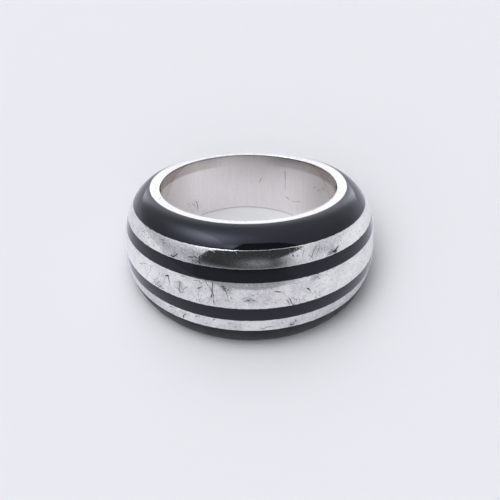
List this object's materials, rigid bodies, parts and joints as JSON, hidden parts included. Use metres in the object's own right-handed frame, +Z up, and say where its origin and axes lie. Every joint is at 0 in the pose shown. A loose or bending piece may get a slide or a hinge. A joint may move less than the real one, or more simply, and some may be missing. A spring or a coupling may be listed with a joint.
{
  "type": "finger ring",
  "caption": "Domed silver finger ring, wide in front and narrow behind, with bands of black enamel running round it, lying on its lower rim.",
  "frame": {"origin": "middle of the ring's outline, on the surface that its lower rim rests on", "axes": "+Z up from the resting rim, -Y towards the wide front of the ring, X across it; the finger's axis leans back from +Z towards +Y by about 9.4 degrees"},
  "size_m": [0.0238, 0.0238, 0.012],
  "materials": {
    "silver": "polished sterling silver with fine scratches, pits and faint tarnish",
    "enamel": "glossy black vitreous enamel, polished flush with the silver"
  },
  "bodies": {
    "root": {"silver_band": "silver", "enamel_at_upper_rim": "enamel", "enamel_upper_stripe": "enamel", "enamel_lower_stripe": "enamel", "enamel_at_lower_rim": "enamel"}
  },
  "joints": []
}
